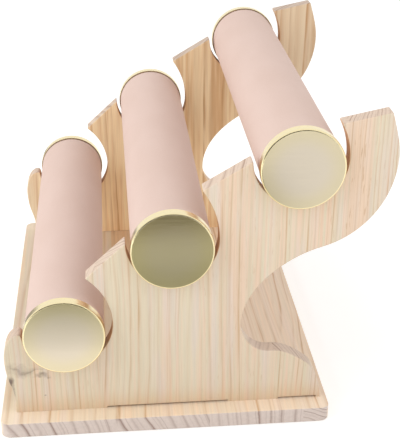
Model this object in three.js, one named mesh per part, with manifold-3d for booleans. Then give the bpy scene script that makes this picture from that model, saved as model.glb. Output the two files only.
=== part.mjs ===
// Bracelet display rack: two stepped pine side panels stand on a pine base board and carry
// three loose cloth-covered rolls, each closed by pressed metal end caps.
// Millimetres, +Z up. X runs along the rolls, the low tier at the front faces -Y, and the
// origin is the centre of the base board's underside.

import * as THREE from 'three';
import { mergeVertices } from 'three/addons/utils/BufferGeometryUtils.js';
import Module from 'manifold-3d';

const wasm = await Module();
wasm.setup();

// Boards
const BOARD_THICKNESS = 11;
const EDGE_EASE = 0.6;
const BASE_LENGTH = 313;
const BASE_DEPTH = 228;
const BASE_CORNER_RADIUS = 6.5;
const PANEL_OUTER_X = 142.9;

// Rolls, from the cloth inwards and then the caps
const COVER_RADIUS = 26.7;
const COVER_THICKNESS = 1.1;
const TUBE_WALL = 2.5;
const PLUG_LENGTH = 12;
const CAP_FACE_X = 150.1;
const CAP_RADIUS = 27.5;
const CAP_DEPTH = 6.9;
const CAP_SHEET = 0.6;
const CAP_EDGE_RADIUS = 1.3;
const LAYER_GAP = 0.2;
const END_GAP = 1.2;

// One row per tier: the roll's axis, the radii of the cradle's floor behind and in front of the
// roll, the height of the cradle's front lip, and the tip that the cradle's back wall rises to.
const TIERS = [
  {
    name: 'lower', y: -67.6, z: 73.9,
    backRadius: 32.5, frontRadius: 29, lipZ: 71, tip: { y: -52.1, z: 114.3 },
  },
  {
    name: 'middle', y: 5.3, z: 135.3,
    backRadius: 31, frontRadius: 30.2, lipZ: 139.4, tip: { y: 25, z: 174.5 },
  },
  {
    name: 'upper', y: 88.2, z: 189.5,
    backRadius: 30.5, frontRadius: 31.1, lipZ: 193.5, tip: { y: 112.6, z: 217 },
  },
];
const SEAT_GAP = 0.3;

// The rest of the side panel's outline. A curve is its two handles and its end, each (Y, Z).
const FOOT_FRONT_Y = -103.7;
const FOOT_BACK_Y = 109.5;
const HEEL_BACK = [[108.6, 20.3], [105.1, 35.2], [99, 39.9]];
const HEEL_TOP = [[95.2, 42.7], [84, 52.6], [73, 51.8]];
const CUT_LOWER = [[61.5, 50.9], [51.6, 62.5], [51.6, 74]];
const CUT_UPPER = [[51.6, 100], [78.8, 123.4], [104.9, 130.9]];
const HORN_BACK = [[130.7, 138.3], [150.9, 162.6], [150.9, 193.2]];
const HORN_TIP = [[150.9, 203.1], [147.4, 213.4], [144.5, 223.6]];
const NOSE_TOP = [[-96.4, 72.5], [-97.4, 73.6], [-98.7, 73.6]];
const NOSE_BROW = [[-104.5, 73.6], [-109.1, 64.8], [-109.1, 54]];
const NOSE_FRONT = [[-109.1, 36], [-104, 32], [-103.6, 21]];

// Screws
const SCREW_ROWS_Y = [-86, 0, 88];
const SCREW_LENGTH = 30;
const SCREW_POINT_LENGTH = 5;
const SCREW_RADIUS = 1.75;
const SCREW_HEAD_RADIUS = 3.6;
const SCREW_HEAD_EDGE = 0.3;
const SCREW_SINK = 0.3;
const SCREW_CLEARANCE = 0.3;
const DRIVE_SLOT_WIDTH = 0.9;
const DRIVE_SLOT_LENGTH = 3.8;
const DRIVE_SLOT_DEPTH = 1.4;

// How finely round surfaces are divided
const PANEL_CURVE_SEGMENTS = 10;
const BASE_CURVE_SEGMENTS = 3;
const ROLL_SEGMENTS = 48;
const CAP_EDGE_SEGMENTS = 3;
const SCREW_SEGMENTS = 16;

const pine = { color: 0xe9d3b4, roughness: 0.6, metalness: 0 };
const microfibre = { color: 0xecd2c8, roughness: 0.85, metalness: 0 };
const satinGold = { color: 0xd9c9a2, roughness: 0.3, metalness: 1 };
const paperboard = { color: 0xb9a68c, roughness: 0.9, metalness: 0 };
const turnedWood = { color: 0xcfb48d, roughness: 0.8, metalness: 0 };
const zincSteel = { color: 0xc4c6c8, roughness: 0.35, metalness: 1 };

function piece(name, geometry, finish) {
  const mesh = new THREE.Mesh(geometry, new THREE.MeshStandardMaterial(finish));
  mesh.name = name;
  return mesh;
}

// A closed solid from a closed geometry, without the flat triangles that a lathe leaves on its axis.
function solidOf(geometry) {
  const bare = geometry.clone();
  bare.deleteAttribute('normal');
  bare.deleteAttribute('uv');
  const merged = mergeVertices(bare);
  const triangles = [];
  for (let i = 0; i < merged.index.count; i += 3) {
    const corners = [merged.index.getX(i), merged.index.getX(i + 1), merged.index.getX(i + 2)];
    if (new Set(corners).size === 3) triangles.push(...corners);
  }
  const vertProperties = merged.attributes.position.array;
  const triVerts = new Uint32Array(triangles);
  return new wasm.Manifold(new wasm.Mesh({ numProp: 3, vertProperties, triVerts }));
}

function cut(geometry, cutters) {
  let solid = solidOf(geometry);
  for (const cutter of cutters) {
    solid = solid.subtract(solidOf(cutter));
  }
  const mesh = solid.getMesh();
  const result = new THREE.BufferGeometry();
  result.setAttribute('position', new THREE.BufferAttribute(mesh.vertProperties, 3));
  result.setIndex(new THREE.BufferAttribute(mesh.triVerts, 1));
  result.computeVertexNormals();
  return result;
}

// A board cut to an outline, from height 0 to its thickness, with its edges eased on both faces.
function board(outline, curveSegments) {
  const geometry = new THREE.ExtrudeGeometry(outline, {
    depth: BOARD_THICKNESS - 2 * EDGE_EASE,
    bevelThickness: EDGE_EASE,
    bevelSize: EDGE_EASE,
    bevelOffset: -EDGE_EASE,
    bevelSegments: 1,
    curveSegments,
  });
  return geometry.translate(0, 0, EDGE_EASE);
}

// A turned solid about the Y axis, from (radius, height) points that go up its outside.
function turned(points, segments) {
  const profile = points.map(([radius, height]) => new THREE.Vector2(radius, height));
  return new THREE.LatheGeometry(profile, segments);
}

// A turned tube, whose profile closes on itself.
function tube(outerRadius, innerRadius, halfLength) {
  const section = [
    [innerRadius, -halfLength],
    [outerRadius, -halfLength],
    [outerRadius, halfLength],
    [innerRadius, halfLength],
    [innerRadius, -halfLength],
  ];
  return turned(section, ROLL_SEGMENTS);
}

function screwGeometry() {
  const coneEnd = SCREW_HEAD_EDGE + SCREW_HEAD_RADIUS - SCREW_RADIUS;
  const blank = turned(
    [
      [0, 0],
      [SCREW_HEAD_RADIUS, 0],
      [SCREW_HEAD_RADIUS, SCREW_HEAD_EDGE],
      [SCREW_RADIUS, coneEnd],
      [SCREW_RADIUS, SCREW_LENGTH - SCREW_POINT_LENGTH],
      [0, SCREW_LENGTH],
    ],
    SCREW_SEGMENTS,
  );
  const slot = new THREE.BoxGeometry(DRIVE_SLOT_LENGTH, 2 * DRIVE_SLOT_DEPTH, DRIVE_SLOT_WIDTH);
  return cut(blank, [slot, slot.clone().rotateY(Math.PI / 2)]);
}

// The countersunk hole in the base, which runs past both faces.
function countersinkGeometry() {
  const headRadius = SCREW_HEAD_RADIUS + SCREW_CLEARANCE;
  const holeRadius = SCREW_RADIUS + SCREW_CLEARANCE;
  const coneStart = SCREW_SINK + SCREW_HEAD_EDGE;
  return turned(
    [
      [0, -1],
      [headRadius, -1],
      [headRadius, coneStart],
      [holeRadius, coneStart + headRadius - holeRadius],
      [holeRadius, BOARD_THICKNESS + 1],
      [0, BOARD_THICKNESS + 1],
    ],
    SCREW_SEGMENTS,
  );
}

// The hole in a panel's bottom edge, which takes the screw's upper end.
function panelHoleGeometry() {
  const radius = SCREW_RADIUS + SCREW_CLEARANCE;
  const bottom = BOARD_THICKNESS - 1;
  const top = SCREW_SINK + SCREW_LENGTH + SCREW_CLEARANCE;
  const hole = new THREE.CylinderGeometry(radius, radius, top - bottom, SCREW_SEGMENTS);
  return hole.translate(0, (bottom + top) / 2, 0);
}

function baseGeometry() {
  const x = BASE_LENGTH / 2;
  const y = BASE_DEPTH / 2;
  const r = BASE_CORNER_RADIUS;
  const outline = new THREE.Shape();
  outline.absarc(x - r, y - r, r, 0, Math.PI / 2);
  outline.absarc(-x + r, y - r, r, Math.PI / 2, Math.PI);
  outline.absarc(-x + r, -y + r, r, Math.PI, 1.5 * Math.PI);
  outline.absarc(x - r, -y + r, r, 1.5 * Math.PI, 2 * Math.PI);
  const screwX = PANEL_OUTER_X - BOARD_THICKNESS / 2;
  const holes = [];
  for (const side of [1, -1]) {
    for (const screwY of SCREW_ROWS_Y) {
      holes.push(countersinkGeometry().rotateX(Math.PI / 2).translate(side * screwX, screwY, 0));
    }
  }
  return cut(board(outline, BASE_CURVE_SEGMENTS), holes);
}

// From a tip down the cradle's back wall, along its floor and up to its front lip. The wall is an arc
// that runs into the floor's rear arc, and both floor arcs meet under the roll.
function addCradle(outline, tier) {
  const floorZ = tier.z - COVER_RADIUS - SEAT_GAP;
  const backZ = floorZ + tier.backRadius;
  const reach = tier.y + tier.backRadius - tier.tip.y;
  const rise = tier.tip.z - backZ;
  const wallRadius = (reach * reach + rise * rise) / (2 * reach);
  const wallY = tier.y + tier.backRadius - wallRadius;
  outline.absarc(wallY, backZ, wallRadius, Math.asin(rise / wallRadius), 0, true);
  outline.absarc(tier.y, backZ, tier.backRadius, 0, -Math.PI / 2, true);

  const frontZ = floorZ + tier.frontRadius;
  const lipAngle = -Math.PI - Math.asin((tier.lipZ - frontZ) / tier.frontRadius);
  outline.absarc(tier.y, frontZ, tier.frontRadius, -Math.PI / 2, lipAngle, true);
}

// Both side panels have this outline, with Y across and Z up: the bottom edge, the heel, the C-shaped
// cut-out, the horn, the cradles with sloping steps between them, and the nose.
function panelOutline() {
  const outline = new THREE.Shape();
  outline.moveTo(FOOT_FRONT_Y, BOARD_THICKNESS);
  outline.lineTo(FOOT_BACK_Y, BOARD_THICKNESS);
  for (const curve of [HEEL_BACK, HEEL_TOP, CUT_LOWER, CUT_UPPER, HORN_BACK, HORN_TIP]) {
    outline.bezierCurveTo(...curve.flat());
  }
  for (const tier of TIERS.toReversed()) {
    outline.lineTo(tier.tip.y, tier.tip.z);
    addCradle(outline, tier);
  }
  for (const curve of [NOSE_TOP, NOSE_BROW, NOSE_FRONT]) {
    outline.bezierCurveTo(...curve.flat());
  }
  outline.closePath();
  return outline;
}

function panelGeometry() {
  const middle = BOARD_THICKNESS / 2;
  const holes = SCREW_ROWS_Y.map((y) => panelHoleGeometry().translate(y, 0, middle));
  return cut(board(panelOutline(), PANEL_CURVE_SEGMENTS), holes);
}

// A pressed cup: the skirt's open edge is at height 0, and a rounded edge joins it to the flat face.
function capGeometry() {
  const ceiling = CAP_DEPTH - CAP_SHEET;
  const bore = CAP_RADIUS - CAP_SHEET;
  const bend = CAP_EDGE_RADIUS - CAP_SHEET;
  const profile = [
    [0, ceiling],
    [bore - bend, ceiling],
    [bore, ceiling - bend],
    [bore, 0],
    [CAP_RADIUS, 0],
  ];
  for (let i = 0; i <= CAP_EDGE_SEGMENTS; i += 1) {
    const angle = (i / CAP_EDGE_SEGMENTS) * (Math.PI / 2);
    const radius = CAP_RADIUS - CAP_EDGE_RADIUS * (1 - Math.cos(angle));
    const height = CAP_DEPTH - CAP_EDGE_RADIUS * (1 - Math.sin(angle));
    profile.push([radius, height]);
  }
  profile.push([0, CAP_DEPTH]);
  return turned(profile, ROLL_SEGMENTS);
}

// A roll in its own frame, lying along X with its middle at the origin.
function roll(tier) {
  const group = new THREE.Group();
  const tubeRadius = COVER_RADIUS - COVER_THICKNESS - LAYER_GAP;
  const tubeBore = tubeRadius - TUBE_WALL;
  const endX = CAP_FACE_X - CAP_SHEET - END_GAP;

  const cover = piece(
    `${tier.name}_cover`,
    tube(COVER_RADIUS, COVER_RADIUS - COVER_THICKNESS, endX),
    microfibre,
  );
  const core = piece(`${tier.name}_core_tube`, tube(tubeRadius, tubeBore, endX), paperboard);
  group.add(cover, core);
  for (const layer of [cover, core]) {
    layer.rotation.z = -Math.PI / 2;
  }

  for (const [sideName, side] of [['right', 1], ['left', -1]]) {
    const plugRadius = tubeBore - LAYER_GAP;
    const plugGeometry = new THREE.CylinderGeometry(plugRadius, plugRadius, PLUG_LENGTH, ROLL_SEGMENTS);
    const plug = piece(`${tier.name}_${sideName}_end_plug`, plugGeometry, turnedWood);
    plug.position.x = side * (endX - PLUG_LENGTH / 2);
    const cap = piece(`${tier.name}_${sideName}_end_cap`, capGeometry(), satinGold);
    cap.position.x = side * (CAP_FACE_X - CAP_DEPTH);
    for (const end of [plug, cap]) {
      end.rotation.z = (-side * Math.PI) / 2;
    }
    group.add(plug, cap);
  }
  group.position.set(0, tier.y, tier.z);
  return group;
}

// A side panel and the screws that hold it, on the right (+1) or left (-1) of the base.
function side(sideName, direction) {
  const group = new THREE.Group();
  const panel = piece(`${sideName}_side_panel`, panelGeometry(), pine);
  panel.rotation.set(Math.PI / 2, 0, Math.PI / 2, 'ZYX');
  panel.position.x = -BOARD_THICKNESS / 2;
  group.add(panel);
  SCREW_ROWS_Y.forEach((y, index) => {
    const screw = piece(`${sideName}_panel_screw_${index + 1}`, screwGeometry(), zincSteel);
    screw.rotation.x = Math.PI / 2;
    screw.position.set(0, y, SCREW_SINK);
    group.add(screw);
  });
  group.position.x = direction * (PANEL_OUTER_X - BOARD_THICKNESS / 2);
  return group;
}

const rack = new THREE.Group();
rack.add(piece('base_board', baseGeometry(), pine));
rack.add(side('right', 1), side('left', -1));
for (const tier of TIERS) {
  rack.add(roll(tier));
}

export default rack;
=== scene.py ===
"""Bracelet display rack: pine boards, cloth-covered rolls and gold end caps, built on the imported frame."""

import math
from collections import namedtuple

import bmesh
import bpy
from bpy.props import FloatProperty, FloatVectorProperty, IntProperty, PointerProperty
from mathutils import Matrix, Vector


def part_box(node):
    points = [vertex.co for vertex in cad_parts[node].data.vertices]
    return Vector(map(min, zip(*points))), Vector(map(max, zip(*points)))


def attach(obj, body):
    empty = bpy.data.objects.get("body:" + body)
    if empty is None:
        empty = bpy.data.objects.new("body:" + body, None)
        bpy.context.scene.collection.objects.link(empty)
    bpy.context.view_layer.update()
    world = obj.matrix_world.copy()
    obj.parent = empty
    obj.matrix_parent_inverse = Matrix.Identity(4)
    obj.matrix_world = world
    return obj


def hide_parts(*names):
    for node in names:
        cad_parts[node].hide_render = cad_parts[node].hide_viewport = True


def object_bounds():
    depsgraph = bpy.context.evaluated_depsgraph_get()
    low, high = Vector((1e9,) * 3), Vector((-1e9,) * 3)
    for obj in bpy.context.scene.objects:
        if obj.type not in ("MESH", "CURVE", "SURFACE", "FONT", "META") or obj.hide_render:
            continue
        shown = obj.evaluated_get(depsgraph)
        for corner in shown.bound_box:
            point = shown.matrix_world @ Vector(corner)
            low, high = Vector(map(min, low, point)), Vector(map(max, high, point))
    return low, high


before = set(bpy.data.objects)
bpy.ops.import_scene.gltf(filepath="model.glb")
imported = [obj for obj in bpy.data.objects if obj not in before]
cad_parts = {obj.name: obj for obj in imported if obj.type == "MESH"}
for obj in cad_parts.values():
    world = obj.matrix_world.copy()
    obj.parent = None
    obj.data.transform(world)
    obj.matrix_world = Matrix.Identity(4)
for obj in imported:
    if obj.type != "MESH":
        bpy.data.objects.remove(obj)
CAD_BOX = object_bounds()

bl_info = {
    "name": "Bracelet Display Rack",
    "version": (1, 0, 0),
    "blender": (4, 5, 0),
    "location": "View3D > Sidebar > Rack",
    "description": "Models a stepped pine rack that carries three cloth-covered bracelet rolls",
    "category": "Add Mesh",
}

MM = 0.001
X, Y, Z = range(3)
WHITE = (1, 1, 1)
QUARTER_TURN = math.pi / 2
ALONG_X = (0, QUARTER_TURN, 0)
TIERS = ("lower", "middle", "upper")
SIDES = {"right": 1, "left": -1}
SCREWS = {side: [f"{side}_panel_screw_{number}" for number in (1, 2, 3)] for side in SIDES}
BASE_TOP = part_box("base_board")[1].z

# Tolerances for places and turns, and how far a cutter stands out of what it cuts, in metres
TOUCHING = 1e-6
NEAR = 1e-5
OVERSHOOT = 0.001

# How well an edge or a face has to fit an axis, and the angles that count as straight, as a tip and as
# one surface
ALIGNED = 0.999
FACING = 0.99
STRAIGHT_ANGLE = math.radians(0.1)
TIP_ANGLE = math.radians(25)
CRISP_ANGLE = math.radians(35)
CLOTH_ANGLE = math.radians(50)

# How finely round shapes are stepped
EDGE_STEPS = 3
CORNER_STEPS = 8
TIP_STEPS = 5
CURVE_STEPS = 20
HOLE_SIDES = 32
SLEEVE_CUTS = 60
CAP_STEPS = 8
INNER_STEPS = 4
LIP_STEPS = 2

# Where most of a noise's values lie, and where nearly all of them do
MOST_NOISE = (0.3, 0.7)
ALL_NOISE = (0.2, 0.8)


# Property helpers

def srgb(*levels):
    """A colour as it looks on screen, 0 to 255, turned into the linear values that shaders use."""
    shares = [level / 255 for level in levels]
    return [share / 12.92 if share <= 0.04045 else ((share + 0.055) / 1.055) ** 2.4 for share in shares]


def colour(name, description, *levels):
    return FloatVectorProperty(
        name=name, description=description, size=3, default=srgb(*levels), min=0, max=1, subtype="COLOR"
    )


def length(name, description, default):
    return FloatProperty(
        name=name, description=description, default=default, unit="LENGTH", precision=5
    )


def lengths(name, description, *values):
    """A place, a curve's two handles and end, or a length for each tier."""
    return FloatVectorProperty(
        name=name, description=description, size=len(values), default=values, unit="LENGTH", precision=5
    )


def angle(name, description, degrees):
    return FloatProperty(
        name=name, description=description, default=math.radians(degrees), unit="ROTATION"
    )


def amount(name, description, default):
    return FloatProperty(name=name, description=description, default=default, min=0)


# Settings

class RackBoards(bpy.types.PropertyGroup):
    """Sizes and colours of the three pine boards"""

    edge_round: length("Edge round", "Radius of the eased board edges", 0.0007)
    corner_round: length("Corner round", "Radius of the base board's corners, seen from above", 0.0065)
    tip_round: length("Tip round", "Width of the rounding at the panel's tips", 0.0016)
    hole_clearance: length("Hole clearance", "Gap between a screw and its hole", 0.0003)
    relief_height: length("Relief height", "Gap under the right panel's hollow bottom edge", 0.0015)
    left_relief: length("Left relief height", "Gap under the left panel's hollow bottom edge", 0.0003)
    # Pale pine is also the painted edge light on the left panel's front
    pine_pale: colour("Pale pine", "Early wood of the creamy strips", 231, 217, 191)
    pine_blush: colour("Pink pine", "Early wood of the pinkish strips", 236, 209, 184)
    pine_lilac: colour("Lilac pine", "Cool streaks in the early wood", 231, 215, 203)
    # Tan pine is also the painted edge light on the left panel's back
    pine_tan: colour("Tan pine", "Early wood of the base's strips and the left panel's back", 240, 215, 184)
    pine_line: colour("Pine line", "Late wood lines on the faces", 205, 167, 126)
    # Painted bounce light: the honey tones are the pine warmed and brightened for the left panel's shaded
    # inner face, and the deep honey also paints the warm shade at the panels' feet and inside the base
    bounce_honey_pale: colour("Pale honey", "Early wood of the left panel's bright strips", 253, 228, 187)
    bounce_honey_deep: colour("Deep honey", "Early wood of the rack's darker strips and feet", 226, 187, 141)
    bounce_honey_line: colour("Honey line", "Late wood lines of the left panel", 192, 142, 93)
    # Painted shade: a deep tan for the cradles' walls beside the rolls, where the shade falls
    painted_cradle_shade: colour("Cradle tan", "Long grain on the cradles' walls", 206, 146, 88)
    end_pale: colour("End grain", "Early wood on the base board's ends", 215, 200, 191)
    end_line: colour("End grain line", "Late wood lines on the base board's ends", 150, 124, 113)
    step_pale: colour("Step grain", "Early wood on the panels' cut edges", 219, 197, 178)
    step_line: colour("Step grain line", "Late wood lines on the panels' cut edges", 164, 132, 112)
    ledge_pale: colour("Ledge", "Paler wood at the base board's ends and back", 250, 228, 207)
    # Knot dark is also the painted shade at the right panel's front edge
    knot_and_shade_dark: colour("Knot", "Dark wood of the knots", 102, 80, 72)


class RackOutline(bpy.types.PropertyGroup):
    """Outline of the side panels, with Y across and Z up; a curve is its two handles and its end"""

    foot_front: length("Foot front", "Front end of the bottom edge", -0.1037)
    foot_back: length("Foot back", "Back end of the bottom edge", 0.1095)
    heel_back: lengths("Heel back", "Up the heel", 0.1086, 0.0203, 0.1051, 0.0352, 0.099, 0.0399)
    heel_top: lengths("Heel top", "Over the heel", 0.0952, 0.0427, 0.084, 0.0526, 0.073, 0.0518)
    cut_lower: lengths("Cut lower", "Into the cut-out", 0.0615, 0.0509, 0.0516, 0.0625, 0.0516, 0.074)
    cut_upper: lengths("Cut upper", "Out of the cut-out", 0.0516, 0.1, 0.0788, 0.1234, 0.1049, 0.1309)
    horn_back: lengths("Horn back", "Up the horn", 0.1307, 0.1383, 0.1509, 0.1626, 0.1509, 0.1932)
    horn_tip: lengths("Horn tip", "To the horn's corner", 0.1509, 0.2031, 0.1474, 0.2134, 0.1445, 0.2236)
    nose_top: lengths("Nose top", "Over the crest", -0.0964, 0.0725, -0.0974, 0.0736, -0.0987, 0.0736)
    nose_brow: lengths("Nose brow", "Down the nose", -0.1045, 0.0736, -0.1091, 0.0648, -0.1091, 0.054)
    nose_front: lengths("Nose front", "In to the ankle", -0.1091, 0.036, -0.104, 0.032, -0.1036, 0.021)
    lower_tip: lengths("Lower tip", "Tip behind the lower cradle", -0.0521, 0.1143)
    middle_tip: lengths("Middle tip", "Tip behind the middle cradle", 0.025, 0.1745)
    upper_tip: lengths("Upper tip", "Tip behind the upper cradle", 0.1126, 0.217)
    back_radii: lengths("Back radii", "Radius of each cradle's floor behind its roll", 0.0325, 0.031, 0.0305)
    front_radii: lengths("Front radii", "Radius of each floor before its roll", 0.029, 0.0302, 0.0311)
    lip_heights: lengths("Lip heights", "Height of each cradle's front lip", 0.071, 0.1394, 0.1935)
    seat_gap: length("Seat gap", "Gap between a cover and its cradle", 0.0003)


class RackRolls(bpy.types.PropertyGroup):
    """Sizes and colours of the covers and end caps"""

    cover_thickness: length("Cover thickness", "Thickness of the covers' cloth", 0.0011)
    cloth_swell: length("Cloth swell", "How far the cloth stands in and out", 0.00012)
    pinch_width: length("Pinch width", "How far before a cap the cloth starts to draw in", 0.0011)
    pinch_depth: length("Pinch depth", "How far the cloth is drawn in under a cap", 0.0005)
    cap_sheet: length("Cap sheet", "Thickness of the caps' metal", 0.0006)
    cap_round: length("Cap round", "Radius of the edge between a cap's face and skirt", 0.0013)
    segments: IntProperty(
        name="Segments", description="Flats round a cover or a cap", default=160, min=24, max=512
    )
    cloth: colour("Cloth", "The covers' pink", 223, 198, 187)
    cloth_deep: colour("Deep cloth", "Darker patches of the nap", 219, 193, 181)
    gold_face: colour("Satin gold", "The middle of the caps' faces", 219, 207, 187)
    gold_margin: colour("Yellow gold", "The margin of the caps' faces", 220, 207, 174)
    gold_edge: colour("Polished gold", "The caps' round edges and skirts", 248, 233, 188)


class RackStage(bpy.types.PropertyGroup):
    """Camera, light, floor and cards"""

    camera_place: lengths("Camera place", "Where the camera stands", 0.73267, -0.03221, 0.44354)
    yaw: angle("Yaw", "Turn away from the rolls' axis", 5.393)
    pitch: angle("Pitch", "Tilt below the horizon", 26.015)
    roll: angle("Roll", "Turn about the line of sight", -0.201)
    lens: amount("Lens", "Focal length in millimetres", 84.19)
    room_light: amount("Room light", "Strength of the even light", 0.83)
    key_power: amount("Key power", "Watts of the light in front", 7.2)
    rim_power: amount("Rim power", "Watts of the light behind", 2.3)
    floor_lift: amount("Floor lift", "Extra white on the floor", 0.25)
    floor: colour("Floor", "The floor's white", 246, 246, 245)
    card_near: colour("Card near", "The floor card's colour near the rack", 163, 164, 141)
    card_middle: colour("Card middle", "The floor card's colour halfway", 208, 208, 182)
    card_far: colour("Card far", "The floor card's colour far from the rack", 70, 56, 24)
    screen: colour("Screen", "The dark screen behind the camera", 36, 30, 18)
    grey: colour("Grey", "The grey cards before the rack", 166, 162, 163)


# Modelling helpers

def node_size(node, axis):
    low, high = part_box(node)
    return high[axis] - low[axis]


def middle_of(node):
    low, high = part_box(node)
    return (low + high) / 2


def deselect():
    """Leaves edit mode with nothing selected."""
    active = bpy.context.view_layer.objects.active
    if active and active.mode != "OBJECT":
        bpy.ops.object.mode_set(mode="OBJECT")
    bpy.ops.object.select_all(action="DESELECT")


def activate(piece):
    deselect()
    piece.select_set(True)
    bpy.context.view_layer.objects.active = piece


def edit(piece):
    activate(piece)
    bpy.ops.object.mode_set(mode="EDIT")


def select(piece, kind, test):
    """In edit mode, selects only the vertices, edges or faces that pass a test."""
    bpy.ops.mesh.select_mode(type=kind)
    bpy.ops.mesh.select_all(action="DESELECT")
    mesh = bmesh.from_edit_mesh(piece.data)
    for element in {"VERT": mesh.verts, "EDGE": mesh.edges, "FACE": mesh.faces}[kind]:
        element.select_set(test(element))
    mesh.select_flush_mode()
    bmesh.update_edit_mesh(piece.data)


def push(offset):
    """Extrudes what is selected by an offset."""
    bpy.ops.mesh.extrude_region_move(TRANSFORM_OT_translate={"value": offset})


def round_edges(piece, test, size, steps, measure="OFFSET"):
    """In edit mode, rounds the edges that pass a test."""
    select(piece, "EDGE", test)
    bpy.ops.mesh.bevel(offset=size, offset_type=measure, segments=steps, affect="EDGES")


def face_outwards():
    """In edit mode, turns every face outwards."""
    bpy.ops.mesh.select_all(action="SELECT")
    bpy.ops.mesh.normals_make_consistent(inside=False)


def is_along(edge, axis):
    """True for an edge that runs along one axis."""
    run = edge.verts[1].co - edge.verts[0].co
    return abs(run.normalized()[axis]) > ALIGNED


def settle(piece):
    """Puts the piece's place, turn and scale into its mesh."""
    activate(piece)
    bpy.ops.object.transform_apply(location=True, rotation=True, scale=True)


def remove(piece):
    activate(piece)
    bpy.ops.object.delete()


def apply_modifier(piece, kind, **settings):
    activate(piece)
    modifier = piece.modifiers.new(kind.title(), kind)
    for key, value in settings.items():
        setattr(modifier, key, value)
    bpy.ops.object.modifier_apply(modifier=modifier.name)


def cut(piece, cutter):
    """Takes a cutter's shape out of a piece, and deletes the cutter."""
    apply_modifier(piece, "BOOLEAN", operation="DIFFERENCE", solver="EXACT", object=cutter)
    remove(cutter)


def add_block(low, high):
    """A block between two corners."""
    deselect()
    bpy.ops.mesh.primitive_cube_add(size=1, location=(low + high) / 2)
    block = bpy.context.object
    block.scale = high - low
    settle(block)
    return block


def add_drum(radius, place, depth, sides, **settings):
    """A cylinder about a place, upright where the settings don't turn it."""
    deselect()
    bpy.ops.mesh.primitive_cylinder_add(
        vertices=sides, radius=radius, depth=depth, location=place, **settings
    )
    drum = bpy.context.object
    settle(drum)
    return drum


def add_drill(screw, radius, bottom, top):
    """A cutter about a screw's axis, between two heights."""
    middle = middle_of(screw)
    place = (middle.x, middle.y, (bottom + top) / 2)
    return add_drum(radius, place, top - bottom, HOLE_SIDES)


def copy_of(piece, name, place, turn=0):
    """A copy with its own mesh, turned about Z and moved."""
    activate(piece)
    bpy.ops.object.duplicate(linked=False)
    copy = bpy.context.object
    copy.name = name
    copy.location = place
    copy.rotation_euler = (0, 0, turn)
    settle(copy)
    return copy


def smooth(piece):
    """Smooth shading with crisp flats."""
    activate(piece)
    bpy.ops.object.shade_smooth_by_angle(angle=CRISP_ANGLE)
    apply_modifier(piece, "WEIGHTED_NORMAL", keep_sharp=True)


def finish(piece, body, slot, node, *materials):
    """Gives a piece its materials and its body, and hides the node that it stands for; the slot is not used.
    """
    for material in materials:
        piece.data.materials.append(material)
    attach(piece, body)
    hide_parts(node)


# Node helpers

class Wiring:
    """A node tree being wired, with methods that add nodes and return their outputs."""

    def __init__(self, tree):
        self.tree = tree

    def feed(self, socket, value):
        """Links an output to a socket, or writes a plain value into it."""
        if isinstance(value, bpy.types.NodeSocket):
            self.tree.links.new(value, socket)
        elif socket.type == "RGBA":
            socket.default_value = (*value, 1)
        else:
            socket.default_value = value

    def add(self, kind, inputs, output=0, **settings):
        node = self.tree.nodes.new(kind)
        for key, value in settings.items():
            setattr(node, key, value)
        for socket, value in inputs.items():
            self.feed(node.inputs[socket], value)
        return node.outputs[output]

    def math(self, operation, *values):
        return self.add("ShaderNodeMath", dict(enumerate(values)), operation=operation)

    def nudge(self, value, noise, most):
        """A value moved to either side by a noise."""
        return self.math("MULTIPLY_ADD", self.math("SUBTRACT", noise, 0.5), most, value)

    def reach(self, run, rise):
        """How far a step across and a step up lead together."""
        return self.math("SQRT", self.math("MULTIPLY_ADD", run, run, self.math("MULTIPLY", rise, rise)))

    def span(self, value, low, high, to_low=0, to_high=1):
        """A value carried smoothly from one range to another, held at its ends."""
        inputs = {0: value, 1: low, 2: high, 3: to_low, 4: to_high}
        return self.add("ShaderNodeMapRange", inputs, interpolation_type="SMOOTHSTEP")

    def seen(self):
        """1 for what the camera sees, also in metal or through glass, and 0 for what only gives light."""
        rays = self.tree.nodes.new("ShaderNodeLightPath").outputs
        seen = rays["Is Camera Ray"]
        for ray in ("Is Glossy Ray", "Is Transmission Ray"):
            seen = self.math("MAXIMUM", seen, rays[ray])
        return seen


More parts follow.
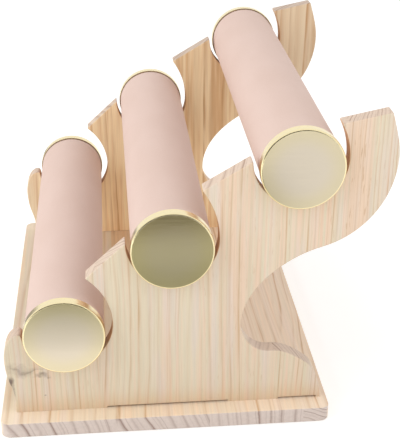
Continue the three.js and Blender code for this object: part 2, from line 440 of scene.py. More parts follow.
class Finish(Wiring):
    """A material being wired."""

    def __init__(self, name):
        self.material = bpy.data.materials.new(name)
        self.material.use_nodes = True
        super().__init__(self.material.node_tree)
        self.shader = self.tree.nodes["Principled BSDF"]

    def place_mm(self):
        """Object coordinates in millimetres."""
        place = self.add("ShaderNodeTexCoord", {}, "Object")
        return self.add("ShaderNodeVectorMath", {0: place, "Scale": 1 / MM}, operation="SCALE")

    def split(self, vector):
        return tuple(self.add("ShaderNodeSeparateXYZ", {0: vector}).node.outputs)

    def noise(self, place, fineness, detail=2, roughness=0.5):
        """A noise whose fineness along each axis is in cells to the millimetre."""
        scaled = self.add("ShaderNodeVectorMath", {0: place, 1: fineness}, operation="MULTIPLY")
        inputs = {"Vector": scaled, "Scale": 1, "Detail": detail, "Roughness": roughness}
        return self.add("ShaderNodeTexNoise", inputs)

    def mix(self, factor, first, second):
        inputs = {0: factor, 6: first, 7: second}
        return self.add("ShaderNodeMix", inputs, 2, data_type="RGBA")

    def ramp(self, factor, stops, interpolation="LINEAR"):
        """The colour and alpha of a ramp with (position, red, green, blue, alpha) stops."""
        node = self.add("ShaderNodeValToRGB", {0: factor}).node
        ramp = node.color_ramp
        ramp.interpolation = interpolation
        for element, (position, *_) in zip(ramp.elements, stops):
            element.position = position
        for position, *_ in stops[2:]:
            ramp.elements.new(position)
        for element, (_, *levels) in zip(ramp.elements, stops):
            element.color = levels
        return tuple(node.outputs)

    def bump(self, height, strength, distance):
        inputs = {"Height": height, "Strength": strength, "Distance": distance}
        self.feed(self.shader.inputs["Normal"], self.add("ShaderNodeBump", inputs))

    def surface(self, **sockets):
        for name, value in sockets.items():
            self.feed(self.shader.inputs[name.replace("_", " ")], value)
        return self.material


def roll_distance(material, y, z):
    """How far a point is from the nearest roll's axis, in millimetres."""
    nearest = 1 / MM
    for tier in TIERS:
        axis = middle_of(f"{tier}_cover") / MM
        run = material.math("SUBTRACT", y, axis.y)
        rise = material.math("SUBTRACT", z, axis.z)
        nearest = material.math("MINIMUM", nearest, material.reach(run, rise))
    return nearest


# Pine

# A glued strip: where it starts across the board, the heart of its tree across and through the board,
# the gap between its rings, all in millimetres, and how pink it is.
Strip = namedtuple("Strip", "start heart_across heart_through ring_gap pink")

# A knot on a panel, also used for smears and for painted shade: its middle and half sizes across and up in
# millimetres, and how dark it is.
Knot = namedtuple("Knot", "across up half_width half_height dark")

RIGHT_PANEL_STRIPS = (
    Strip(-120, -219, 60, 3.7, 0.3),
    Strip(-46, 150, -180, 2.9, 0.15),
    Strip(21, -179, 77, 6.6, 0.4),
    Strip(74.5, 241, 50, 3.1, 0.5),
    Strip(117, -49, 80, 2.4, 0.95),
    Strip(134, -60, 90, 2.6, 0.4),
)
LEFT_PANEL_STRIPS = (
    Strip(-120, 120, 40, 5.2, 0.2),
    Strip(-62, -210, -60, 5.4, 0.05),
    Strip(-4, 190, 70, 5, 0.45),
    Strip(78, 260, 40, 4.3, 0.5),
)
BASE_STRIPS = (
    Strip(-120, -203, -52, 7.4, 0.05),
    Strip(-35, -139, -62, 7.8, 0.5),
    Strip(29.4, 341, 12, 7.6, 0.2),
    Strip(93.9, 89, -22, 3, 0.2),
)
PANEL_KNOTS_AND_SHADE = (
    Knot(-83, 24, 0.9, 1.1, 0.6),
    Knot(-98, 45, 12, 5, 0.26),
    Knot(-93, 45, 12, 1.1, 0.3),
    Knot(-84, 39.5, 5, 1.9, 0.55),
    # Painted shade: a dark spot at the ankle and a shadow line down the front edge above the base
    Knot(-105.8, 35, 2.2, 3.6, 0.85),
    Knot(-104.2, 26, 0.9, 9, 0.45),
)

# The ranges that a ramp's 0 to 1 stands for when it holds a strip's values, in millimetres
STRIP_SPAN = 400
HEART_SPAN = 1000
RING_SPAN = 20

# How far the rings sway and waver in millimetres, how they widen along the grain, and how years drift
RING_SWAY = 8
RING_WAVER = 1.2
RING_TAPER = 0.014
YEAR_DRIFT = 1.3

# Where in a year the late wood is darkest, and the pace, shift and strength of the fine lines between
LATE_PEAK = 0.86
FINE_PACE = 2.37
FINE_SHIFT = 0.4
FINE_STRENGTH = 0.4

# How far a knot's outline wanders up and down in millimetres, how ragged it is, and where it fades out
KNOT_WANDER = 14
KNOT_RAGGED = 1.4
KNOT_EDGE = (0.8, 2.1)

# From where to where the boards change their tone, in millimetres, much of it painted light and shade
# Where towards the base's right end the painted shade on its pinker strip ends
INTERIOR_SHADE_END = (90, 140)
LEDGE_ENDS = (138, 146)
LEDGE_BACK = (25, 55)
# Where the painted edge light on a panel starts and is full across, and where it turns from pale at the
# front to tan at the back
PAINTED_EDGE_LIGHT_SPAN = (80, 110)
EDGE_LIGHT_TURN = (-20, 20)
# Heights over which the painted bounce light at the panels' feet fades out
PAINTED_FOOT_BOUNCE = (12, 28)
# How far from a roll's axis the painted shade on the cradles' walls reaches
CRADLE_SHADE_REACH = (34, 42)
# Between these places along the grain the painted light fade runs
LIGHT_FADE = (20, 190)


def year_lines(wood, rings, weakest, breadth):
    """A soft line at the end of each year, each with its own strength."""
    start = LATE_PEAK - breadth
    rise = [(0, 0.12), (0.12, 0), (start, 0.04), ((start + LATE_PEAK) / 2, 0.4), (LATE_PEAK, 1)]
    fall = [(0.93, 0.5), (1, 0.12)]
    stops = [(season, level, level, level, 1) for season, level in rise + fall]
    line, _ = wood.ramp(wood.math("FRACT", rings), stops)
    year = {"W": wood.math("FLOOR", rings)}
    strength = wood.add("ShaderNodeTexWhiteNoise", year, noise_dimensions="1D")
    return wood.math("MULTIPLY", line, wood.span(strength, 0, 1, weakest, 1))


def ring_lines(wood, across, through, along, strips, breadth):
    """Late wood lines of the glued strips, 0 to 1, each strip's pinkness, and the place in the grain."""
    stops = [
        (
            strip.start / STRIP_SPAN + 0.5,
            strip.heart_across / HEART_SPAN + 0.5,
            strip.heart_through / HEART_SPAN + 0.5,
            strip.ring_gap / RING_SPAN,
            strip.pink,
        )
        for strip in strips
    ]
    strip_place = wood.math("MULTIPLY_ADD", across, 1 / STRIP_SPAN, 0.5)
    strip_values, pink = wood.ramp(strip_place, stops, "CONSTANT")
    heart_a, heart_t, gap = wood.split(strip_values)
    heart_across = wood.math("MULTIPLY_ADD", heart_a, HEART_SPAN, -HEART_SPAN / 2)
    heart_through = wood.math("MULTIPLY_ADD", heart_t, HEART_SPAN, -HEART_SPAN / 2)
    run = wood.math("SUBTRACT", across, heart_across)
    rise = wood.math("SUBTRACT", through, heart_through)

    grain_place = wood.add("ShaderNodeCombineXYZ", {0: across, 1: through, 2: along})
    sway = wood.noise(grain_place, (0.022, 0.022, 0.006), detail=1)
    waver = wood.noise(grain_place, (0.16, 0.16, 0.018))
    shifted = wood.math("MULTIPLY_ADD", sway, RING_SWAY, wood.reach(run, rise))
    shifted = wood.math("MULTIPLY_ADD", waver, RING_WAVER, shifted)
    tapered = wood.math("MULTIPLY_ADD", along, RING_TAPER, shifted)
    rings = wood.math("DIVIDE", tapered, wood.math("MULTIPLY", gap, RING_SPAN))

    drift = wood.noise(wood.add("ShaderNodeCombineXYZ", {0: rings}), (0.55, 0, 0), detail=1)
    rings = wood.math("MULTIPLY_ADD", drift, YEAR_DRIFT, rings)
    line = year_lines(wood, rings, 0.3, breadth)
    fine = year_lines(wood, wood.math("MULTIPLY_ADD", rings, FINE_PACE, FINE_SHIFT), 0, breadth)
    line = wood.math("MAXIMUM", line, wood.math("MULTIPLY", fine, FINE_STRENGTH))
    return line, pink, grain_place


def base_tones(wood, early, boards, x, y, pink):
    """The base board's early wood with painted shade on its pinker strip away from its right end, and a
    paler tone at its ends and back.
    """
    # Painted shade: the pinker strip turns deep honey everywhere but towards the right end
    interior_shade = wood.span(pink, 0.2, 0.5, 0, 0.55)
    interior_shade = wood.math("MULTIPLY", interior_shade, wood.span(x, *INTERIOR_SHADE_END, 1, 0))
    early = wood.mix(interior_shade, early, boards.bounce_honey_deep)
    ends = wood.span(wood.math("ABSOLUTE", x), *LEDGE_ENDS, 0, 0.4)
    ledge = wood.math("MAXIMUM", ends, wood.span(y, *LEDGE_BACK, 0, 0.55))
    return wood.mix(ledge, early, boards.ledge_pale)


def panel_tones(wood, early, boards, y, z, facing_y, painted_edge_light):
    """A panel's early wood with painted light and shade: paler front and back edges, warm bounce light at
    its foot and shade on its cradles' walls beside the rolls.
    """
    # Painted light: the open front and back edges turn from the warm bounce tones to paler wood
    edge = wood.span(wood.math("ABSOLUTE", y), *PAINTED_EDGE_LIGHT_SPAN, 0, painted_edge_light)
    edge_light_tone = wood.mix(wood.span(y, *EDGE_LIGHT_TURN, 0, 0.8), boards.pine_pale, boards.pine_tan)
    early = wood.mix(edge, early, edge_light_tone)
    # Painted bounce light: the wood turns warmer towards the foot, where the base throws light back
    early = wood.mix(wood.span(z, *PAINTED_FOOT_BOUNCE, 0.3, 0), early, boards.bounce_honey_deep)
    # Painted shade: the cradles' walls next to the rolls turn deep tan
    wall = wood.span(wood.math("ABSOLUTE", facing_y), 0.5, 0.9, 0, 0.85)
    wall = wood.math("MULTIPLY", wall, wood.span(roll_distance(wood, y, z), *CRADLE_SHADE_REACH, 1, 0))
    return wood.mix(wall, early, boards.painted_cradle_shade)


def add_knots_and_shade(wood, tone, across, up, grain_place, knots, dark):
    """Small knots and smears, and the painted shade at the front edge, all with ragged edges."""
    ragged = wood.noise(grain_place, (0.5, 0.5, 0.5), detail=3)
    wander = wood.noise(grain_place, (0.09, 0.09, 0.09))
    up = wood.nudge(up, wander, KNOT_WANDER)
    for knot in knots:
        side = wood.math("MULTIPLY_ADD", across, 1 / knot.half_width, -knot.across / knot.half_width)
        height = wood.math("MULTIPLY_ADD", up, 1 / knot.half_height, -knot.up / knot.half_height)
        reach = wood.math("MULTIPLY_ADD", ragged, KNOT_RAGGED, wood.reach(side, height))
        tone = wood.mix(wood.span(reach, *KNOT_EDGE, knot.dark, 0), tone, dark)
    return tone


def pine(
    name, boards, strips, grain_axis, tones, end_tones, breadth, fade, flecks=0, knots=(), painted_edge_light=0
):
    """Edge-glued pine, coloured through and through, so that its faces and end grain meet at the edges.

    The tones are the pale, deep and streak colours of the early wood and the colour of the late wood's
    lines. Breadth is the late wood's share of a year, fade a painted light gradient, how much paler the top
    or right end is than the other, flecks the strength of the short dashes, and painted_edge_light how far a
    panel's front and back edges turn to paler wood as painted light.
    """
    wood = Finish(name)
    x, y, z = wood.split(wood.place_mm())
    normal = wood.split(wood.add("ShaderNodeTexCoord", {}, "Normal"))
    along, through = (x, z) if grain_axis == X else (z, x)
    line, pink, grain_place = ring_lines(wood, y, through, along, strips, breadth)
    pale, deep, streak, late = tones

    bands = wood.noise(grain_place, (0.11, 0.11, 0.006), detail=3, roughness=0.6)
    strands = wood.noise(grain_place, (0.45, 0.45, 0.008))
    patches = wood.noise(grain_place, (0.16, 0.2, 0.012))
    fibres = wood.noise(grain_place, (1.7, 1.7, 0.035), detail=3, roughness=0.65)
    breaks = wood.noise(grain_place, (0.3, 0.3, 0.022))
    dashes = wood.noise(grain_place, (0.8, 0.8, 0.1))

    blush = wood.nudge(wood.nudge(pink, bands, 2.4), strands, 2.2)
    early = wood.mix(wood.span(blush, 0, 1), pale, deep)
    early = wood.mix(wood.span(patches, 0.46, 0.72, 0, 0.6), early, streak)
    if grain_axis == X:
        early = base_tones(wood, early, boards, x, y, pink)
    else:
        early = panel_tones(wood, early, boards, y, z, normal[Y], painted_edge_light)
    broken = wood.math("MULTIPLY", line, wood.span(breaks, 0.32, 0.64, 0.25, 0.95))
    dash = wood.math("MULTIPLY", wood.span(dashes, 0.6, 0.74), wood.math("MULTIPLY", pink, flecks))
    face = wood.mix(wood.math("MAXIMUM", broken, dash), early, late)

    facing = wood.math("ABSOLUTE", normal[grain_axis])
    grain = wood.mix(wood.span(facing, 0.25, 0.85), face, wood.mix(line, *end_tones))
    if knots:
        grain = add_knots_and_shade(wood, grain, y, z, grain_place, knots, boards.knot_and_shade_dark)

    shade = wood.span(fibres, 0.25, 0.75, 0.96, 1.03)
    shade = wood.math("MULTIPLY", shade, wood.span(strands, *MOST_NOISE, 0.97, 1.02))
    # Painted light: one end of each board paler than the other, as the light falls
    shade = wood.math("MULTIPLY", shade, wood.span(along, *LIGHT_FADE, 1 - fade / 2, 1 + fade / 2))
    tone = wood.add("ShaderNodeVectorMath", {0: grain, "Scale": shade}, operation="SCALE")
    wood.bump(wood.math("MULTIPLY_ADD", line, -0.5, fibres), strength=0.22, distance=0.00025)
    roughness = wood.span(fibres, *ALL_NOISE, 0.5, 0.66)
    return wood.surface(Base_Color=tone, Roughness=roughness, IOR=1.45)


# Cloth, metal and hidden materials

# Where a cap's face turns yellower, in millimetres from the roll's axis
FACE_MARGIN = (12, 26)


def microfibre(name, rolls):
    """Suede-like cloth with a short nap."""
    cloth = Finish(name)
    place = cloth.place_mm()
    patches = cloth.noise(place, (0.02, 0.035, 0.035))
    strokes = cloth.noise(place, (0.3, 0.8, 0.8))
    nap = cloth.noise(place, (3.2, 3.2, 3.2), detail=4, roughness=0.7)
    worn = cloth.math("MULTIPLY_ADD", strokes, 0.3, patches)
    worn = cloth.math("MULTIPLY_ADD", nap, 0.5, worn)
    tone = cloth.mix(cloth.span(worn, 0.6, 1.2), rolls.cloth, rolls.cloth_deep)
    cloth.bump(cloth.math("MULTIPLY_ADD", strokes, 0.25, nap), strength=0.2, distance=0.00018)
    roughness = cloth.span(nap, *MOST_NOISE, 0.82, 0.95)
    cloth.surface(Base_Color=tone, Roughness=roughness, Specular_IOR_Level=0.25)
    return cloth.surface(Sheen_Weight=0.25, Sheen_Roughness=0.45, Sheen_Tint=rolls.cloth)


def satin_gold(name, rolls):
    """Finely brushed face of an end cap, yellower at its margin."""
    gold = Finish(name)
    place = gold.place_mm()
    _, y, z = gold.split(place)
    brushed = gold.noise(place, (0.5, 0.04, 0.7), detail=3, roughness=0.6)
    margin = gold.span(roll_distance(gold, y, z), *FACE_MARGIN)
    tone = gold.mix(margin, rolls.gold_face, rolls.gold_margin)
    gold.bump(brushed, strength=0.02, distance=0.00002)
    roughness = gold.span(brushed, *MOST_NOISE, 0.15, 0.19)
    return gold.surface(Base_Color=tone, Metallic=1, Roughness=roughness)


def polished_gold(name, rolls):
    """Bright round edge and skirt of an end cap, with faint marks of the press round the roll's axis."""
    gold = Finish(name)
    marks = gold.noise(gold.place_mm(), (9, 0.12, 0.12))
    roughness = gold.span(marks, *MOST_NOISE, 0.2, 0.27)
    gold.bump(marks, strength=0.04, distance=0.00004)
    return gold.surface(Base_Color=rolls.gold_edge, Metallic=1, Roughness=roughness)


def mottled(name, tones, dullness, fineness, detail, roughness, metallic=0):
    """Two mottled tones, with the least and most dullness of the surface, and bumps if it isn't metal."""
    plain = Finish(name)
    mottle = plain.noise(plain.place_mm(), fineness, detail, roughness)
    if not metallic:
        plain.bump(mottle, strength=0.2, distance=0.0002)
    tone = plain.mix(mottle, *tones)
    dull = plain.span(mottle, *ALL_NOISE, *dullness)
    return plain.surface(Base_Color=tone, Metallic=metallic, Roughness=dull)


def core_board(name):
    """Grey-brown paperboard."""
    tones = srgb(168, 146, 118), srgb(200, 180, 150)
    return mottled(name, tones, (0.85, 0.95), (0.7, 2.2, 2.2), detail=4, roughness=0.7)


def plug_wood(name):
    """Plain turned wood, with its grain along the roll."""
    tones = srgb(222, 190, 148), srgb(190, 152, 108)
    return mottled(name, tones, (0.6, 0.75), (0.05, 1.1, 1.1), detail=4, roughness=0.6)


def zinc_steel(name):
    """Bright zinc plating."""
    tones = srgb(196, 198, 200), srgb(222, 222, 216)
    return mottled(name, tones, (0.25, 0.4), (1.4, 1.4, 1.4), detail=3, roughness=0.6, metallic=1)


# Base board

def base_cutter(screw, boards):
    """A countersunk hole's shape, a screw's clearance larger than the screw."""
    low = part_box(screw)[0]
    middle = middle_of(screw)
    head = node_size(screw, X) / 2 + boards.hole_clearance
    shank = head / 2
    cone_end = low.z + head - shank
    cutter = add_drill(screw, shank, cone_end, BASE_TOP + OVERSHOOT)
    edit(cutter)
    select(cutter, "FACE", lambda face: face.normal.z < -FACING)
    push((0, 0, low.z - cone_end))
    widen = head / shank
    bpy.ops.transform.resize(value=(widen, widen, 1), center_override=(middle.x, middle.y, low.z))
    push((0, 0, -OVERSHOOT))
    deselect()
    return cutter


class RACK_OT_base_board(bpy.types.Operator):
    """Model the base board with its rounded corners and countersunk holes"""

    bl_idname = "rack.base_board"
    bl_label = "Base Board"

    def execute(self, context):
        boards = context.scene.rack_boards
        base = add_block(*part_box("base_board"))
        base.name = "pine_base_board"

        def is_rim(edge):
            return len({round(abs(face.normal.z)) for face in edge.link_faces}) == 2

        edit(base)
        round_edges(base, lambda edge: is_along(edge, Z), boards.corner_round, CORNER_STEPS)
        round_edges(base, is_rim, boards.edge_round, EDGE_STEPS)
        deselect()
        for screw in (*SCREWS["right"], *SCREWS["left"]):
            cut(base, base_cutter(screw, boards))
        smooth(base)
        tones = boards.pine_pale, boards.pine_tan, boards.pine_lilac, boards.pine_line
        ends = boards.end_pale, boards.end_line
        wood = pine("pine_base", boards, BASE_STRIPS, X, tones, ends, breadth=0.25, flecks=0.3, fade=0.1)
        finish(base, "stand", "pine", "base_board", wood)
        return {"FINISHED"}


# Side panels

# Where a panel's bottom edge is hollow: front and back ends, in metres
HOLLOWS = ((-0.041, 0.0435), (0.079, 0.1065))


class OutlinePen:
    """Collects the Bezier points of a closed outline."""

    def __init__(self, start):
        self.knots = [[start, start, start]]

    def curve(self, leave, arrive, end):
        self.knots[-1][2] = Vector(leave)
        end = Vector(end)
        self.knots.append([Vector(arrive), end, end])

    def bend(self, values):
        """A curve given as six numbers: two handles and an end."""
        self.curve(values[0:2], values[2:4], values[4:6])

    def line(self, end):
        start = self.knots[-1][1]
        end = Vector(end)
        self.curve(start.lerp(end, 1 / 3), start.lerp(end, 2 / 3), end)

    def arc(self, centre, radius, first, last):
        """A round stretch, in steps of at most a quarter turn."""
        steps = math.ceil(abs(last - first) / QUARTER_TURN - TOUCHING)
        turn = (last - first) / steps
        reach = 4 / 3 * math.tan(turn / 4) * radius
        for step in range(steps):
            begin = first + step * turn
            out = Vector((math.cos(begin), math.sin(begin)))
            away = Vector((math.cos(begin + turn), math.sin(begin + turn)))
            start = centre + radius * out
            end = centre + radius * away
            self.curve(start + reach * out.orthogonal(), end - reach * away.orthogonal(), end)

    def close(self):
        """A straight stretch back to the start."""
        start = self.knots[-1][1]
        end = self.knots[0][1]
        self.knots[-1][2] = start.lerp(end, 1 / 3)
        self.knots[0][0] = start.lerp(end, 2 / 3)


def draw_cradle(pen, tier, outline):
    """From a tip down the cradle's back wall, along its floor and up to its front lip."""
    number = TIERS.index(tier)
    axis = middle_of(f"{tier}_cover").y
    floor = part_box(f"{tier}_cover")[0].z - outline.seat_gap
    tip = Vector(getattr(outline, f"{tier}_tip"))
    radius = outline.back_radii[number]
    back = Vector((axis, floor + radius))
    reach = axis + radius - tip.x
    rise = tip.y - back.y
    wall_radius = (reach * reach + rise * rise) / (2 * reach)
    wall = Vector((axis + radius - wall_radius, back.y))
    pen.line(tip)
    pen.arc(wall, wall_radius, math.asin(rise / wall_radius), 0)
    pen.arc(back, radius, 0, -QUARTER_TURN)

    radius = outline.front_radii[number]
    front = Vector((axis, floor + radius))
    lip = -math.pi - math.asin((outline.lip_heights[number] - front.y) / radius)
    pen.arc(front, radius, -QUARTER_TURN, lip)


def panel_outline(outline):
    """The panel's outline from its bottom edge round by the heel, the horn, the cradles and the nose."""
    pen = OutlinePen(Vector((outline.foot_front, BASE_TOP)))
    pen.line((outline.foot_back, BASE_TOP))
    for part in ("heel_back", "heel_top", "cut_lower", "cut_upper", "horn_back", "horn_tip"):
        pen.bend(getattr(outline, part))
    for tier in reversed(TIERS):
        draw_cradle(pen, tier, outline)
    for part in ("nose_top", "nose_brow", "nose_front"):
        pen.bend(getattr(outline, part))
    pen.close()
    return pen.knots


def draw_outline(knots, x):
    """A Bezier curve through the knots, made a mesh loop that stands at one X."""
    deselect()
    bpy.ops.curve.primitive_bezier_curve_add(location=(0, 0, 0))
    drawn = bpy.context.object
    drawn.data.dimensions = "3D"
    drawn.data.resolution_u = CURVE_STEPS
    spline = drawn.data.splines[0]
    spline.bezier_points.add(len(knots) - len(spline.bezier_points))
    spline.use_cyclic_u = True
    for bezier, (before, knot, after) in zip(spline.bezier_points, knots):
        bezier.handle_left_type = "FREE"
        bezier.handle_right_type = "FREE"
        bezier.co = (x, *knot)
        bezier.handle_left = (x, *before)
        bezier.handle_right = (x, *after)
    bpy.ops.object.convert(target="MESH")
    return bpy.context.object


def saw_panel(outline, low, high):
    """A board with the panel's outline."""
    panel = draw_outline(panel_outline(outline), low.x)
    edit(panel)
    bpy.ops.mesh.select_all(action="SELECT")
    bpy.ops.mesh.remove_doubles(threshold=TOUCHING)
    bpy.ops.mesh.dissolve_limited(angle_limit=STRAIGHT_ANGLE)
    bpy.ops.mesh.select_all(action="SELECT")
    bpy.ops.mesh.edge_face_add()
    push((high.x - low.x, 0, 0))
    face_outwards()
    deselect()
    return panel


def drill_panel(panel, low, high, boards):
    """Cuts the screw holes and the hollows into the right panel's bottom edge."""
    for screw in SCREWS["right"]:
        radius = node_size(screw, X) / 4 + boards.hole_clearance
        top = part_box(screw)[1].z + boards.hole_clearance
        cut(panel, add_drill(screw, radius, BASE_TOP - OVERSHOOT, top))
    for front, back in HOLLOWS:
        under = Vector((low.x - OVERSHOOT, front, low.z - OVERSHOOT))
        over = Vector((high.x + OVERSHOOT, back, low.z + boards.relief_height))
        cut(panel, add_block(under, over))


def ease_panel(panel, bottom, boards):
    """Rounds the panel's tips and then its rims, all above its bottom edge."""
    def is_tip(edge):
        sharp = is_along(edge, X) and edge.calc_face_angle() > TIP_ANGLE
        return sharp and edge.verts[0].co.z > bottom

    def is_rim(edge):
        flat = sum(abs(face.normal.x) > FACING for face in edge.link_faces)
        return flat == 1 and max(vertex.co.z for vertex in edge.verts) > bottom

    edit(panel)
    round_edges(panel, is_tip, boards.tip_round, TIP_STEPS, "WIDTH")
    round_edges(panel, is_rim, boards.edge_round, EDGE_STEPS)
    deselect()
    smooth(panel)


class RACK_OT_side_panels(bpy.types.Operator):
    """Model the two stepped side panels with their cradles, cut-outs and screw holes"""

    bl_idname = "rack.side_panels"
    bl_label = "Side Panels"

    def execute(self, context):
        boards = context.scene.rack_boards
        low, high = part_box("right_side_panel")
        ceiling = low.z + boards.relief_height
        right = saw_panel(context.scene.rack_outline, low, high)
        right.name = "pine_right_side_panel"
        drill_panel(right, low, high, boards)
        ease_panel(right, ceiling + NEAR, boards)

        left = copy_of(right, "pine_left_side_panel", (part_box("left_side_panel")[0].x - low.x, 0, 0))
        edit(left)
        select(left, "VERT", lambda vertex: abs(vertex.co.z - ceiling) < TOUCHING)
        bpy.ops.transform.translate(value=(0, 0, boards.left_relief - boards.relief_height))
        deselect()

        steps = boards.step_pale, boards.step_line
        tones = boards.pine_pale, boards.pine_blush, boards.pine_lilac, boards.pine_line
        right_pine = pine(
            "pine_right_panel", boards, RIGHT_PANEL_STRIPS, Z, tones, steps,
            breadth=0.3, flecks=0.7, knots=PANEL_KNOTS_AND_SHADE, fade=0.12,
        )
        # The left panel's honey tones and fade paint the warm bounce light on its shaded inner face, darker
        # towards its top
        tones = boards.bounce_honey_pale, boards.bounce_honey_deep, boards.bounce_honey_pale, boards.bounce_honey_line
        left_pine = pine(
            "pine_left_panel", boards, LEFT_PANEL_STRIPS, Z, tones, steps,
            breadth=0.7, painted_edge_light=0.7, fade=-0.18,
        )
        finish(right, "stand", "pine", "right_side_panel", right_pine)
        finish(left, "stand", "pine", "left_side_panel", left_pine)
        return {"FINISHED"}


# Covers

# The width of the cloth's swells, in metres
SWELL_WIDTH = 0.025


def sew_sleeve(rolls, radius, width):
    """A thin tube of cloth along X, cut across into short rings."""
    sleeve = add_drum(
        radius, (0, 0, 0), width, rolls.segments, rotation=ALONG_X, end_fill_type="NOTHING"
    )
    edit(sleeve)
    select(sleeve, "EDGE", lambda edge: is_along(edge, X))
    bpy.ops.mesh.subdivide(number_cuts=SLEEVE_CUTS)
    face_outwards()
    deselect()
    return sleeve


def pinch_ends(cover, tier, rolls):
    """Draws the cloth in where it goes under the caps' skirts."""
    axis = middle_of(f"{tier}_cover")
    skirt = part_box(f"{tier}_right_end_cap")[0].x
    radius = node_size(f"{tier}_cover", Z) / 2
    edit(cover)
    for end in SIDES.values():
        for back in (rolls.pinch_width, 0):
            bpy.ops.mesh.select_all(action="SELECT")
            bpy.ops.mesh.bisect(plane_co=(end * (skirt - back), 0, 0), plane_no=(1, 0, 0))

    def is_tucked(vertex):
        out = (vertex.co - axis).yz.length > radius - rolls.cover_thickness / 2
        return out and abs(vertex.co.x) > skirt - NEAR

    select(cover, "VERT", is_tucked)
    draw_in = 1 - rolls.pinch_depth / radius
    bpy.ops.transform.resize(value=(1, draw_in, draw_in), center_override=axis)
    deselect()


class RACK_OT_covers(bpy.types.Operator):
    """Model the cloth covers, drawn in where they go under the caps"""

    bl_idname = "rack.covers"
    bl_label = "Covers"

    def execute(self, context):
        rolls = context.scene.rack_rolls
        radius = node_size("lower_cover", Z) / 2 - rolls.cloth_swell / 2
        width = node_size("lower_cover", X)
        sleeve = sew_sleeve(rolls, radius, width)
        swell = bpy.data.textures.new("cloth_swell", "CLOUDS")
        swell.noise_scale = SWELL_WIDTH
        cloth = microfibre("pink_microfibre", rolls)
        for tier in TIERS:
            cover = copy_of(sleeve, f"{tier}_cloth_cover", (0, *middle_of(f"{tier}_cover").yz))
            apply_modifier(cover, "DISPLACE", texture=swell, strength=rolls.cloth_swell, mid_level=0.5)
            apply_modifier(cover, "SOLIDIFY", thickness=rolls.cover_thickness, offset=-1)
            pinch_ends(cover, tier, rolls)
            activate(cover)
            bpy.ops.object.shade_smooth_by_angle(angle=CLOTH_ANGLE)
            finish(cover, f"{tier}_roll", "cover_cloth", f"{tier}_cover", cloth)
        remove(sleeve)
        return {"FINISHED"}


# End caps

def press_cup(rolls):
    """A cup on the roll's axis with round edges, polished all over but for its satin face."""
    low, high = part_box("lower_right_end_cap")
    radius = (high.z - low.z) / 2
    ceiling = high.x - rolls.cap_sheet
    place = ((low.x + high.x) / 2, 0, 0)
    cup = add_drum(radius, place, high.x - low.x, rolls.segments, rotation=ALONG_X)
    edit(cup)
    select(cup, "FACE", lambda face: face.normal.x < -FACING)
    bpy.ops.mesh.inset(thickness=rolls.cap_sheet)
    push((ceiling - low.x, 0, 0))

    def is_ring(edge, x):
        first, second = (vertex.co for vertex in edge.verts)
        level = abs(first.x - x) < NEAR and abs(second.x - x) < NEAR
        return level and abs(first.yz.length - second.yz.length) < NEAR

    for x, size, steps in (
        (high.x, rolls.cap_round, CAP_STEPS),
        (ceiling, rolls.cap_round - rolls.cap_sheet, INNER_STEPS),
        (low.x, rolls.cap_sheet / 3, LIP_STEPS),
    ):
        round_edges(cup, lambda edge: is_ring(edge, x), size, steps)
    deselect()
    cup.data.materials.append(polished_gold("polished_gold", rolls))
    cup.data.materials.append(satin_gold("satin_gold", rolls))
    for polygon in cup.data.polygons:
        polygon.material_index = int(polygon.center.x > ceiling and polygon.area > radius ** 2)
    smooth(cup)
    return cup


class RACK_OT_end_caps(bpy.types.Operator):
    """Model the pressed metal end caps with their round edges"""

    bl_idname = "rack.end_caps"
    bl_label = "End Caps"

    def execute(self, context):
        cup = press_cup(context.scene.rack_rolls)
        for tier in TIERS:
            place = (0, *middle_of(f"{tier}_cover").yz)
            for side, direction in SIDES.items():
                turn = 0 if direction > 0 else math.pi
                cap = copy_of(cup, f"{tier}_{side}_gold_cap", place, turn)
                finish(cap, f"{tier}_roll", "cap_metal", f"{tier}_{side}_end_cap")
        remove(cup)
        return {"FINISHED"}


# Inner parts

class RACK_OT_inner_parts(bpy.types.Operator):
    """Give the core tubes, end plugs and screws their finishes"""

    bl_idname = "rack.inner_parts"
    bl_label = "Inner Parts"

    def execute(self, context):
        finishes = {
            "core_tube": core_board("core_board"),
            "end_plug": plug_wood("plug_wood"),
            "panel_screw": zinc_steel("zinc_steel"),
        }
        for name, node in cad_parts.items():
            for part, material in finishes.items():
                if part in name:
                    node.material_slots[0].material = material
        return {"FINISHED"}


# Stage

# The floor's width and how far it lies under the base, in metres
FLOOR_SIZE = 12
FLOOR_DROP = 0.0002

# The length that the floor card's ramp stands for, and where across it fades to white, in millimetres
CARD_SPAN = 1000
CARD_BACK = (50, 180)


def floor_finish(stage):
    """A white floor that keeps the rack's shadow and looks brighter than it lights the rack."""
    floor = Finish("stage_floor")
    nodes = floor.tree.nodes
    nodes.remove(floor.shader)
    diffuse = floor.add("ShaderNodeBsdfDiffuse", {"Color": stage.floor})
    strength = floor.math("MULTIPLY", floor.seen(), stage.floor_lift)
    lift = floor.add("ShaderNodeEmission", {"Color": WHITE, "Strength": strength})
    both = floor.add("ShaderNodeAddShader", {0: diffuse, 1: lift})
    floor.feed(nodes["Material Output"].inputs["Surface"], both)
    return floor.material


def card_finish(stage):
    """Matt card in pale and dark bands across its length, that fades to white at its back."""
    card = Finish("stage_card")
    away, side, _ = card.split(card.place_mm())
    bands = (
        (250, stage.floor),
        (345, stage.card_near),
        (415, stage.card_middle),
        (490, stage.card_far),
        (540, stage.card_far),
        (620, WHITE),
    )
    stops = [(place / CARD_SPAN, *tone, 1) for place, tone in bands]
    tone, _ = card.ramp(card.math("DIVIDE", away, CARD_SPAN), stops, "EASE")
    tone = card.mix(card.span(side, *CARD_BACK), tone, WHITE)
    return card.surface(Base_Color=tone, Roughness=1, Specular_IOR_Level=0)


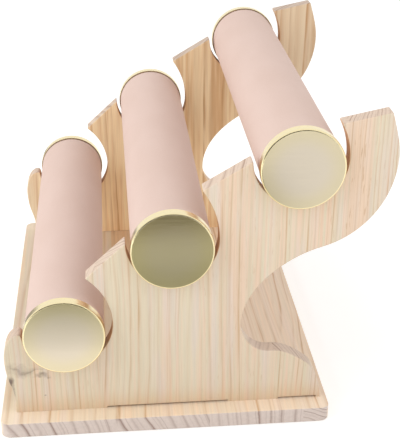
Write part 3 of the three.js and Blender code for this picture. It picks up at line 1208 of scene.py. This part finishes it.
def screen_finish(name, tone):
    """Matt cloth with a faint weave."""
    cloth = Finish(name)
    weave = cloth.noise(cloth.place_mm(), (0.4, 0.4, 0.4))
    woven = cloth.mix(cloth.span(weave, *MOST_NOISE, 0, 0.2), tone, (0, 0, 0))
    return cloth.surface(Base_Color=woven, Roughness=1, Specular_IOR_Level=0)


def add_floor(stage):
    deselect()
    bpy.ops.mesh.primitive_plane_add(size=FLOOR_SIZE, location=(0, 0, -FLOOR_DROP))
    floor = bpy.context.object
    floor.name = "stage_floor"
    settle(floor)
    floor.data.materials.append(floor_finish(stage))


def add_card(name, material, place, size, turn=0):
    """A flat card, turned about Y, that only shiny surfaces reflect."""
    bpy.ops.mesh.primitive_plane_add(size=1, location=place, rotation=(0, turn, 0))
    card = bpy.context.object
    card.name = name
    card.scale = (*size, 1)
    settle(card)
    card.data.materials.append(material)
    for sight in ("camera", "diffuse", "transmission", "volume_scatter", "shadow"):
        setattr(card, f"visible_{sight}", False)


def light_room(stage):
    """An even white room that the camera and the metal see as plain white."""
    world = bpy.data.worlds.new("stage_room")
    bpy.context.scene.world = world
    world.use_nodes = True
    room = Wiring(world.node_tree)
    background = room.tree.nodes["Background"].inputs
    room.feed(background["Color"], WHITE)
    room.feed(background["Strength"], room.span(room.seen(), 0, 1, stage.room_light, 1))


def add_softbox(name, power, place, size):
    """A square area light that faces the middle of the rack and isn't mirrored in the metal."""
    target = (CAD_BOX[0] + CAD_BOX[1]) / 2
    place = Vector(place)
    bpy.ops.object.light_add(type="AREA", location=place)
    light = bpy.context.object
    light.name = name
    light.data.energy = power
    light.data.size = size
    light.rotation_euler = (target - place).to_track_quat("-Z", "Y").to_euler()
    light.visible_glossy = False


def add_camera(stage):
    """A camera that looks along the rolls from the right end, turned by its yaw, pitch and roll."""
    cos_yaw, sin_yaw = math.cos(stage.yaw), math.sin(stage.yaw)
    cos_pitch, sin_pitch = math.cos(stage.pitch), math.sin(stage.pitch)
    forward = Vector((-cos_yaw * cos_pitch, sin_yaw * cos_pitch, -sin_pitch))
    right = Matrix.Rotation(stage.roll, 3, forward) @ Vector((sin_yaw, cos_yaw, 0))
    up = right.cross(forward)
    bpy.ops.object.camera_add(location=stage.camera_place)
    camera = bpy.context.object
    camera.name = "stage_camera"
    camera.rotation_euler = Matrix((right, up, -forward)).transposed().to_euler()
    camera.data.lens = stage.lens
    camera.data.clip_start = 0.01
    bpy.context.scene.camera = camera


class RACK_OT_stage(bpy.types.Operator):
    """Set up the floor, the light, the cards and the camera"""

    bl_idname = "rack.stage"
    bl_label = "Stage"

    def execute(self, context):
        stage = context.scene.rack_stage
        add_floor(stage)
        light_room(stage)
        add_softbox("key_light", stage.key_power, place=(0.35, -1.1, 0.7), size=1.1)
        add_softbox("rim_light", stage.rim_power, place=(0.6, 1.0, 1.0), size=0.9)
        add_card("stage_card", card_finish(stage), place=(0.5, 0.06, 0.001), size=(0.5, 0.42))
        dark = screen_finish("stage_screen", stage.screen)
        add_card("stage_screen", dark, place=(1.05, -0.35, 0.37), size=(0.74, 1.9), turn=QUARTER_TURN)
        grey = screen_finish("stage_grey", stage.grey)
        add_card("stage_mat", grey, place=(-0.315, -0.395, 0.001), size=(0.87, 0.45))
        add_card("stage_flag", grey, place=(-0.6, -0.6, 0.08), size=(0.16, 0.28), turn=QUARTER_TURN)
        add_camera(stage)
        context.scene.view_settings.view_transform = "Standard"
        return {"FINISHED"}


# Add-on

OPERATORS = (
    RACK_OT_stage,
    RACK_OT_base_board,
    RACK_OT_side_panels,
    RACK_OT_covers,
    RACK_OT_end_caps,
    RACK_OT_inner_parts,
)
SETTINGS = {
    "rack_boards": RackBoards,
    "rack_outline": RackOutline,
    "rack_rolls": RackRolls,
    "rack_stage": RackStage,
}


class RACK_PT_sidebar(bpy.types.Panel):
    """Lists the rack's pieces and their settings"""

    bl_label = "Bracelet Display Rack"
    bl_idname = "RACK_PT_sidebar"
    bl_space_type = "VIEW_3D"
    bl_region_type = "UI"
    bl_category = "Rack"

    def draw(self, context):
        for operator in OPERATORS:
            self.layout.operator(operator.bl_idname)
        for name, settings in SETTINGS.items():
            box = self.layout.box()
            for setting in settings.__annotations__:
                box.prop(getattr(context.scene, name), setting)


def register():
    for cls in (*SETTINGS.values(), *OPERATORS, RACK_PT_sidebar):
        bpy.utils.register_class(cls)
    for name, settings in SETTINGS.items():
        setattr(bpy.types.Scene, name, PointerProperty(type=settings))


def unregister():
    for name in SETTINGS:
        delattr(bpy.types.Scene, name)
    for cls in (RACK_PT_sidebar, *reversed(OPERATORS), *SETTINGS.values()):
        bpy.utils.unregister_class(cls)


def main():
    register()
    bpy.ops.rack.stage()
    bpy.ops.rack.base_board()
    bpy.ops.rack.side_panels()
    bpy.ops.rack.covers()
    bpy.ops.rack.end_caps()
    bpy.ops.rack.inner_parts()


if __name__ == "__main__":
    main()
